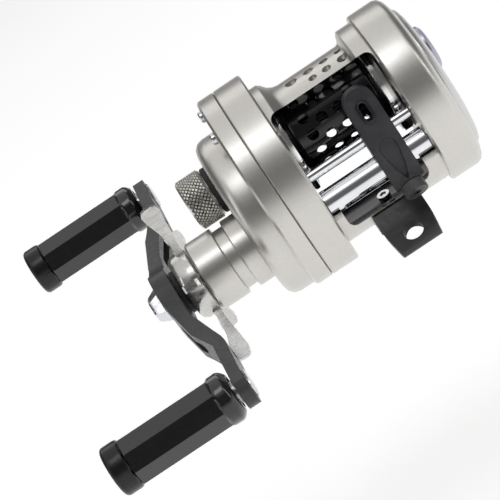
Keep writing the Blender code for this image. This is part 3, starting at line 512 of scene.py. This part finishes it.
def relief(name, axis, places, sides, radius_at, material, phase=0.0):
    """A body round an axis: its radius at each place follows radius_at(x, angle); both ends are closed."""
    bm = bmesh.new()
    rows = []
    for x in places:
        row = []
        for j in range(sides):
            angle = phase + 2 * math.pi * j / sides
            radius = radius_at(x, angle)
            row.append(bm.verts.new((x * MM, (axis.y + radius * math.cos(angle)) * MM,
                                     (axis.z + radius * math.sin(angle)) * MM)))
        rows.append(row)
    for below, above in zip(rows, rows[1:]):
        for j in range(sides):
            k = (j + 1) % sides
            bm.faces.new((below[j], below[k], above[k], above[j]))
    bm.faces.new(rows[0])
    bm.faces.new(rows[-1])
    return add_mesh(name, bm, [material])


def spaced(low, high, steps):
    """Evenly spaced places from low to high."""
    return [low + (high - low) * i / steps for i in range(steps + 1)]


def cut(target, cutters):
    """Takes the cutters out of a piece and removes them."""
    for cutter in cutters:
        modifier = target.modifiers.new("cut", "BOOLEAN")
        modifier.operation = "DIFFERENCE"
        modifier.object = cutter
    bpy.context.view_layer.update()
    solid = target.evaluated_get(bpy.context.evaluated_depsgraph_get())
    mesh = bpy.data.meshes.new_from_object(solid)
    mesh.shade_smooth()
    mesh.set_sharp_from_angle(angle=math.radians(SMOOTH_ANGLE))
    target.modifiers.clear()
    target.data = mesh
    for cutter in cutters:
        bpy.data.objects.remove(cutter)
    return target


def soften(piece, voxel):
    """Rebuilds a piece as an even fine mesh and rounds its edges a little, as a cast part's are."""
    remesh = piece.modifiers.new("remesh", "REMESH")
    remesh.mode = "VOXEL"
    remesh.voxel_size = voxel * MM
    smooth = piece.modifiers.new("smooth", "SMOOTH")
    smooth.iterations = 5
    bpy.context.view_layer.update()
    mesh = bpy.data.meshes.new_from_object(piece.evaluated_get(bpy.context.evaluated_depsgraph_get()))
    mesh.shade_smooth()
    piece.modifiers.clear()
    piece.data = mesh


def copy_of(node, name, material):
    """A piece with the same shape as a CAD node, ready to be worked on."""
    bm = bmesh.new()
    bm.from_mesh(nodes[node].data)
    return add_mesh(name, bm, [material])


# Pieces with more detail than the CAD solids -----------------------------------------

# The barrel's inside gets a black material as painted shade.
BARREL_BORE = 18.1              # frame faces within this radius that look inward are the barrel's inside
INWARD_SHARE = 0.4              # how squarely such a face looks at the axis

DRUM_RADIUS = 9.0
FLANGE_RADIUS = 12.0
SPOOL_BORE = 2.15
SPOOL_LEFT = -12.0
SPOOL_RIGHT = 12.7
SPOOL_SIDES = 84
CAVITY_RADIUS = 8.1
CAVITY_BORE = 3.1
RIM_RADIUS = 11.2               # the flanges are bright outside this radius
PORT_ROWS = 14                  # rows of each of the two spreads
PORT_CLOCK = 96.1
PORT_RADIUS = 1.25
PORT_MIDDLE = -0.6
PORT_SPREADS = (2.0, 5.5)       # distance of a row's two ports from the middle
PORT_REACH = 8.3                # radius of a port's middle
PORT_DEPTH = 4.0

TENSION_RADIUS = 5.8
TENSION_BORE = 4.4
TENSION_FACE = -34.95           # where the bore stops under the outer face
KNURL_STARTS = 36
KNURL_DEPTH = 0.42
KNURL_TOP = 0.8                 # share of a full diamond's height that its flat top stands at
KNURL_BAND = 0.4                # smooth band at each end
TENSION_CHAMFER = 0.45

GRIP_FLATS = 9.9
GRIP_TILT = 92.5                # direction of one corner of the grip, from +Y towards +Z
GRIP_COLLAR = 4.0               # length of the round collar by the handle arm
GRIP_RIM = 1.8                  # length of the collar's rounded end
GRIP_RIM_DROP = 1.35            # how much the rounded end narrows
GRIP_BLEND = 0.5
CAP_ROUND = 0.9
CAP_LENGTH = 4.1
CAP_BORE = 3.7

WORM_RADIUS = 1.9
WORM_JOURNAL = 1.1
WORM_BODY = (-11.9, 12.8)       # between the journals
WORM_TRACK = (-10.5, 11.4)      # where the grooves run
WORM_PITCH = 5.2
WORM_GROOVE = 0.45              # depth
WORM_GROOVE_HALF = 0.75         # half width, in radians round the shaft

DROP_RADIUS = 1.85
DROP_FROM_TOP = 13.4
DROP_DEPTH = 1.5
GUIDE_VOXEL = 0.17
EYE_ENDS = ((0, 8.7), (180, 6.3))   # start angle and height of the slot's two round ends
EYE_MIDDLE = 7.5
EYE_RADIUS = 1.05
EYE_WIRE = 0.3
EYE_PLANE = -17.1               # Y of the ring halfway up the eye
EYE_LEAN = 0.235                # rise of Y for each millimetre up

RIB_COUNT = 7
RIB_CLOCK = -60.5
RIB_STEP = 2.6                  # degrees
RIB_RADIUS = 20.16
RIB_SIZE = (19.0, 0.5, 0.2)
RIB_MIDDLE = 0.3


def make_spool():
    """Black ported drum whose flanges have bright rims."""
    outline = [
        (SPOOL_LEFT, SPOOL_BORE), (SPOOL_LEFT, 11.6), (-11.85, 11.9), (-11.6, FLANGE_RADIUS),
        (-11.0, FLANGE_RADIUS), (-10.75, 11.9), (-10.6, 11.6), (-10.2, 10.4), (-9.8, 9.5), (-9.5, 9.15),
        (-9.2, DRUM_RADIUS), (9.2, DRUM_RADIUS), (9.5, 9.15), (9.8, 9.5), (10.1, 10.6), (10.35, 11.6),
        (10.6, 11.95), (10.8, FLANGE_RADIUS), (12.3, FLANGE_RADIUS), (12.6, 11.9), (SPOOL_RIGHT, 11.65),
        (SPOOL_RIGHT, 11.0), (10.9, 11.0), (10.2, 9.4), (10.2, SPOOL_BORE)]
    looks = [LOOKS["spool_metal"], LOOKS["spool_rim"]]
    spool = turned("spool_barrel", outline, SPOOL_AXIS, looks, SPOOL_SIDES)
    inside = [(-10.3, CAVITY_BORE), (-10.3, 7.6), (-9.8, CAVITY_RADIUS), (8.6, CAVITY_RADIUS), (9.1, 7.6),
              (9.1, CAVITY_BORE)]
    cavity = turned("cavity", inside, SPOOL_AXIS, [], SPOOL_SIDES)
    cut(spool, [cavity])
    bm = bmesh.new()
    for i in range(2 * PORT_ROWS):
        clock = PORT_CLOCK + 180.0 / PORT_ROWS * i
        y, z = polar(SPOOL_AXIS, clock, PORT_REACH)
        out_y, out_z = y - SPOOL_AXIS.y, z - SPOOL_AXIS.z
        turn = Vector((0, 0, 1)).rotation_difference(Vector((0, out_y, out_z))).to_matrix().to_4x4()
        for side in (-1, 1):
            x = PORT_MIDDLE + side * PORT_SPREADS[i % 2]
            matrix = Matrix.Translation(Vector((x, y, z)) * MM) @ turn
            bmesh.ops.create_cone(bm, cap_ends=True, segments=20, radius1=PORT_RADIUS * MM,
                                  radius2=PORT_RADIUS * MM, depth=PORT_DEPTH * MM, matrix=matrix)
    ports = add_mesh("ports", bm, [])
    cut(spool, [ports])
    for face in spool.data.polygons:
        middle = face.center / MM
        reach = math.hypot(middle.y - SPOOL_AXIS.y, middle.z - SPOOL_AXIS.z)
        face.material_index = 1 if reach > RIM_RADIUS else 0
    place_piece(spool, "spool", ["spool"])


def make_tension_knob():
    """Cast control knob with a raised diamond knurl between two smooth bands; the knurl's grooves are
    painted darker as shade.
    """
    low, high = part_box("tension_knob")[0].x / MM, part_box("tension_knob")[1].x / MM
    cell = 2 * math.pi * TENSION_RADIUS / KNURL_STARTS

    def radius_at(x, angle):
        edge = min(x - low, high - x)
        radius = TENSION_RADIUS - max(0.0, TENSION_CHAMFER - edge)
        if edge > KNURL_BAND:
            across, along = KNURL_STARTS * angle / 2, math.pi * (x - low) / cell
            height = min(abs(math.sin(across + along)), abs(math.sin(across - along)), KNURL_TOP)
            radius -= KNURL_DEPTH * (1 - height / KNURL_TOP)
        return radius

    knob = relief("tension_knob_knurled", SPOOL_AXIS, spaced(low, high, 66), 12 * KNURL_STARTS, radius_at,
                  LOOKS["knurled_metal"])
    bore_outline = [(TENSION_FACE, 0), (TENSION_FACE, TENSION_BORE), (-29, TENSION_BORE), (-29, 0)]
    bore = turned("bore", bore_outline, SPOOL_AXIS, [], 48)
    cut(knob, [bore])
    # Painted shade: faces down in the knurl's grooves get a darker metal.
    knob.data.materials.append(LOOKS["knurl_groove_shade"])
    for face in knob.data.polygons:
        middle = face.center / MM
        reach = math.hypot(middle.y - SPOOL_AXIS.y, middle.z - SPOOL_AXIS.z)
        in_groove_shade = TENSION_RADIUS - KNURL_DEPTH * 1.2 < reach < TENSION_RADIUS - KNURL_DEPTH * 0.5
        if in_groove_shade and low + KNURL_BAND < middle.x < high - KNURL_BAND:
            face.material_index = 1
    place_piece(knob, "tension_knob", ["tension_knob"])


def make_knob(index):
    """Octagonal grip with crisp flats between two round collars, and its turned end cap."""
    grip_node, cap_node = f"knob_grip_{index}", f"knob_cap_{index}"
    axis = centre(cap_node)
    inner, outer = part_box(grip_node)[1].x / MM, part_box(cap_node)[0].x / MM
    collar = (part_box(cap_node)[1].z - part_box(cap_node)[0].z) / MM / 2
    corner_angle = math.radians(GRIP_TILT)
    apothem = GRIP_FLATS / 2
    collar_end, rim = inner - GRIP_COLLAR, inner - GRIP_RIM

    def radius_at(x, angle):
        away = (angle - corner_angle) % (math.pi / 4) - math.pi / 8
        flat = apothem / math.cos(away)
        if x < collar_end:
            return flat
        if x < collar_end + GRIP_BLEND:
            return flat + (collar - flat) * (x - collar_end) / GRIP_BLEND
        if x < rim:
            return collar
        return collar - GRIP_RIM_DROP * ((x - rim) / (inner - rim)) ** 2

    places = [outer + 4.3] + spaced(outer + 5.0, collar_end, 6) + spaced(collar_end + 0.25, rim, 5)
    places += spaced(rim + 0.2, inner, 9)
    grip = relief(f"knob_grip_octagon_{index}", axis, places, 96, radius_at, LOOKS["knob_grip_finish"],
                  corner_angle)
    bore = turned("bore", [(outer - 1, 0), (outer - 1, 3.2), (outer + 4.9, 3.2), (outer + 4.9, 2.1),
                           (inner - 3.4, 2.1), (inner - 3.4, 3.55), (inner + 1, 3.55), (inner + 1, 0)],
                  axis, [], 40)
    cut(grip, [bore])
    place_piece(grip, f"knob_{index}", [grip_node])
    round_over = []
    for i in range(7):
        turn = math.radians(15 * i)
        round_over.append((outer + CAP_ROUND - CAP_ROUND * math.cos(turn),
                           collar - CAP_ROUND + CAP_ROUND * math.sin(turn)))
    cap = turned(f"knob_cap_turned_{index}", [(outer, 0)] + round_over + [
        (outer + 3.3, collar), (outer + 3.8, collar - 0.12), (outer + CAP_LENGTH, collar - 0.5),
        (outer + CAP_LENGTH, CAP_BORE), (outer + 1.5, CAP_BORE), (outer + 1.5, 0)],
        axis, [LOOKS["knob_cap_finish"]], 72)
    place_piece(cap, f"knob_{index}", [cap_node])


def make_worm_shaft():
    """Level wind shaft with its two crossing grooves."""
    low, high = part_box("worm_shaft")[0].x / MM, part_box("worm_shaft")[1].x / MM

    def radius_at(x, angle):
        if x < WORM_BODY[0] or x > WORM_BODY[1]:
            return WORM_JOURNAL
        turn = 2 * math.pi * x / WORM_PITCH
        depth = 0.0
        if WORM_TRACK[0] < x < WORM_TRACK[1]:
            for sign in (-1, 1):
                away = abs((angle + sign * turn + math.pi) % (2 * math.pi) - math.pi)
                depth = max(depth, WORM_GROOVE * max(0.0, 1 - (away / WORM_GROOVE_HALF) ** 4))
        return WORM_RADIUS - depth

    worm = relief("worm_shaft_grooved", WORM_AXIS, spaced(low, high, 220), 40, radius_at,
                  LOOKS["shaft_steel"])
    place_piece(worm, "worm", ["worm_shaft"])


def guide_cutter(name, outline, front, back):
    """A flat outline in (x, z), thick along Y, to cut into the line guide's front."""
    bm = bmesh.new()
    near = [bm.verts.new((x * MM, front * MM, z * MM)) for x, z in outline]
    far = [bm.verts.new((x * MM, back * MM, z * MM)) for x, z in outline]
    bm.faces.new(near)
    bm.faces.new(far)
    for i in range(len(outline)):
        k = (i + 1) % len(outline)
        bm.faces.new((near[i], near[k], far[k], far[i]))
    return add_mesh(name, bm, [])


def make_line_guide():
    """Line guide with a drop-shaped recess in its face and a hard ring in its eye."""
    low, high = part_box("line_guide")
    middle = (low.x + high.x) / 2 / MM
    top = high.z / MM
    guide = copy_of("line_guide", "line_guide_body", LOOKS["guide_metal"])
    head = top - DROP_FROM_TOP
    drop = []
    for i in range(25):
        angle = math.radians(180 * i / 24)
        drop.append((middle + DROP_RADIUS * math.cos(angle), head + DROP_RADIUS * math.sin(angle)))
    drop += [(middle - 1.75, head - 2.0), (middle - 1.2, head - 5.0), (middle, head - 8.6),
             (middle + 1.2, head - 5.0), (middle + 1.75, head - 2.0)]
    front = low.y / MM
    cut(guide, [guide_cutter("drop", drop, front - 2, front + DROP_DEPTH)])
    soften(guide, GUIDE_VOXEL)
    place_piece(guide, "line_guide", ["line_guide"])
    make_eye_ring(middle)


def make_eye_ring(middle):
    """The smooth ring in the line guide's slot, which the line runs through."""
    ring = bpy.data.curves.new("guide_insert", "CURVE")
    ring.dimensions = "3D"
    ring.bevel_depth = EYE_WIRE * MM
    ring.bevel_resolution = 5
    spline = ring.splines.new("POLY")
    points = []
    for start, height in EYE_ENDS:
        for i in range(13):
            angle = math.radians(start + 15 * i)
            points.append((middle + EYE_RADIUS * math.cos(angle), height + EYE_RADIUS * math.sin(angle)))
    spline.points.add(len(points) - 1)
    for point, (x, z) in zip(spline.points, points):
        y = EYE_PLANE + EYE_LEAN * (z - EYE_MIDDLE)
        point.co = (x * MM, y * MM, (BODY_AXIS.z + z) * MM, 1)
    spline.use_cyclic_u = True
    insert = bpy.data.objects.new("guide_insert", ring)
    bpy.context.scene.collection.objects.link(insert)
    ring.materials.append(LOOKS["spool_metal"])
    place_piece(insert, "line_guide")


def make_thumb_ribs():
    """Grip ribs along the back of the thumb bar."""
    bm = bmesh.new()
    size = Matrix.Diagonal((*(Vector(RIB_SIZE) * MM), 1))
    for step in range(RIB_COUNT):
        clock = RIB_CLOCK - RIB_STEP * step
        y, z = polar(BODY_AXIS, clock, RIB_RADIUS)
        turn = Matrix.Rotation(math.radians(clock), 4, "X")
        place = Matrix.Translation(Vector((RIB_MIDDLE, y, z)) * MM)
        bmesh.ops.create_cube(bm, size=1, matrix=place @ turn @ size)
    bmesh.ops.bevel(bm, geom=bm.edges[:], offset=0.06 * MM, segments=2, affect="EDGES")
    ribs = add_mesh("thumb_bar_ribs", bm, [LOOKS["thumb_bar_finish"]])
    place_piece(ribs, "thumb_bar")


REPLACED = ("spool", "tension_knob", "worm_shaft", "line_guide", "knob_grip_1", "knob_grip_2",
            "knob_cap_1", "knob_cap_2")
CARRIED = [name for name in nodes if name not in REPLACED]


def finish_cad_nodes():
    """Gives every CAD node that stays on show its own look."""
    slot_of = {part["node"]: part["material_slot"] for part in frame["record"]["subparts"]}
    for name in CARRIED:
        obj = nodes[name]
        obj.data.materials.clear()
        obj.data.materials.append(LOOKS[slot_of[name]])
        clean_shading(obj)
    low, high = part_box("worm_tube")[0].x / MM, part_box("worm_tube")[1].x / MM
    # Painted shade: faces inside the frame's barrel get a black material in place of the shade and dark
    # reflections there.
    inside = nodes["frame"].modifiers.new("painted_shade_inside", "NODES")
    inside.node_group = painted_inner_shade_group(BODY_AXIS, BARREL_BORE, low, high, LOOKS["painted_barrel_shade"])


# Stage --------------------------------------------------------------------------------

def make_floor():
    """A white floor some way under the reel, so that no shadow of it falls close by."""
    low = cad_box[0]
    bm = bmesh.new()
    bmesh.ops.create_grid(bm, x_segments=8, y_segments=8, size=FLOOR_REACH)
    bmesh.ops.translate(bm, verts=bm.verts, vec=(0, 0, low[2] - FLOOR_DROP))
    shader = Shader("floor_look", FLOOR_WHITE, 0.8, 0.0)
    shader.vary_roughness(shader.noise(40, 3), 0.75, 0.85)
    shader.principled.inputs["Emission Color"].default_value = (1, 1, 1, 1)
    shader.principled.inputs["Emission Strength"].default_value = FLOOR_GLOW
    add_mesh("floor", bm, [shader.done()])


def make_light(name, place, target, size, power, colour=(1, 1, 1)):
    """A large soft area light, aimed at a point; places are in metres."""
    data = bpy.data.lights.new(name, "AREA")
    data.shape = "RECTANGLE"
    data.size, data.size_y = size
    data.energy = power
    data.color = colour
    lamp = bpy.data.objects.new(name, data)
    bpy.context.scene.collection.objects.link(lamp)
    lamp.location = place
    direction = Vector(target) - Vector(place)
    lamp.rotation_euler = direction.to_track_quat("-Z", "Y").to_euler()


def make_surroundings():
    """A sky that is bright overhead and below, with a dark band between that the metal reflects."""
    world = bpy.data.worlds.new("studio")
    bpy.context.scene.world = world
    world.use_nodes = True
    tree = world.node_tree
    background = tree.nodes["Background"]
    background.inputs["Strength"].default_value = SKY_STRENGTH
    ramp = tree.nodes.new("ShaderNodeValToRGB")
    stops = ramp.color_ramp.elements
    for index, (position, value) in enumerate(SKY_BANDS):
        if index < 2:
            stops[index].position = position
            stops[index].color = (value, value, value, 1)
        else:
            stops.new(position).color = (value, value, value, 1)
    coordinates = tree.nodes.new("ShaderNodeTexCoord")
    split = tree.nodes.new("ShaderNodeSeparateXYZ")
    height = tree.nodes.new("ShaderNodeMapRange")
    height.inputs["From Min"].default_value = -1
    tree.links.new(coordinates.outputs["Generated"], split.inputs[0])
    tree.links.new(split.outputs["Z"], height.inputs["Value"])
    tree.links.new(height.outputs["Result"], ramp.inputs[0])
    tree.links.new(ramp.outputs[0], background.inputs["Color"])


def make_lamps():
    """A broad key light above the front, a strip at each end of the reel and a rear light."""
    middle = (-0.02, 0, 0.02)
    make_light("key", (0.05, -0.32, 0.78), middle, (0.6, 0.24), 1.0, (0.94, 0.97, 1.0))
    make_light("palm_strip", (0.55, -0.3, 0.35), middle, (0.12, 0.6), 0.6)
    make_light("handle_strip", (-0.6, -0.25, 0.3), middle, (0.12, 0.5), 0.4)
    make_light("rear", (0.0, 0.6, 0.5), middle, (0.9, 0.3), 0.9)


def make_camera():
    """A long lens in front of the reel and a little above it, rolled so that the reel's right end rises."""
    lift, side = math.radians(VIEW_LIFT), math.radians(VIEW_SIDE)
    roll = math.radians(VIEW_ROLL)
    toward = Vector((math.sin(side) * math.cos(lift), -math.cos(side) * math.cos(lift), math.sin(lift)))
    right = Vector((math.cos(side), math.sin(side), 0))
    up = toward.cross(right)
    aim = Vector((VIEW_AIM[0], 0, BODY_AXIS.z)) + Vector((0, math.sin(lift), math.cos(lift))) * VIEW_AIM[1]
    rolled_right = right * math.cos(roll) - up * math.sin(roll)
    rolled_up = right * math.sin(roll) + up * math.cos(roll)
    place = (aim + toward * VIEW_DISTANCE) * MM
    data = bpy.data.cameras.new("camera")
    data.lens = VIEW_LENS
    data.sensor_width = 36
    data.clip_start = 0.01
    data.clip_end = 20
    camera = bpy.data.objects.new("camera", data)
    bpy.context.scene.collection.objects.link(camera)
    camera.matrix_world = Matrix((
        (rolled_right.x, rolled_up.x, toward.x, place.x),
        (rolled_right.y, rolled_up.y, toward.y, place.y),
        (rolled_right.z, rolled_up.z, toward.z, place.z),
        (0, 0, 0, 1)))
    bpy.context.scene.camera = camera


bpy.context.scene.view_settings.view_transform = "Standard"
finish_cad_nodes()
make_spool()
make_tension_knob()
make_knob(1)
make_knob(2)
make_worm_shaft()
make_line_guide()
make_thumb_ribs()
make_floor()
make_surroundings()
make_lamps()
make_camera()
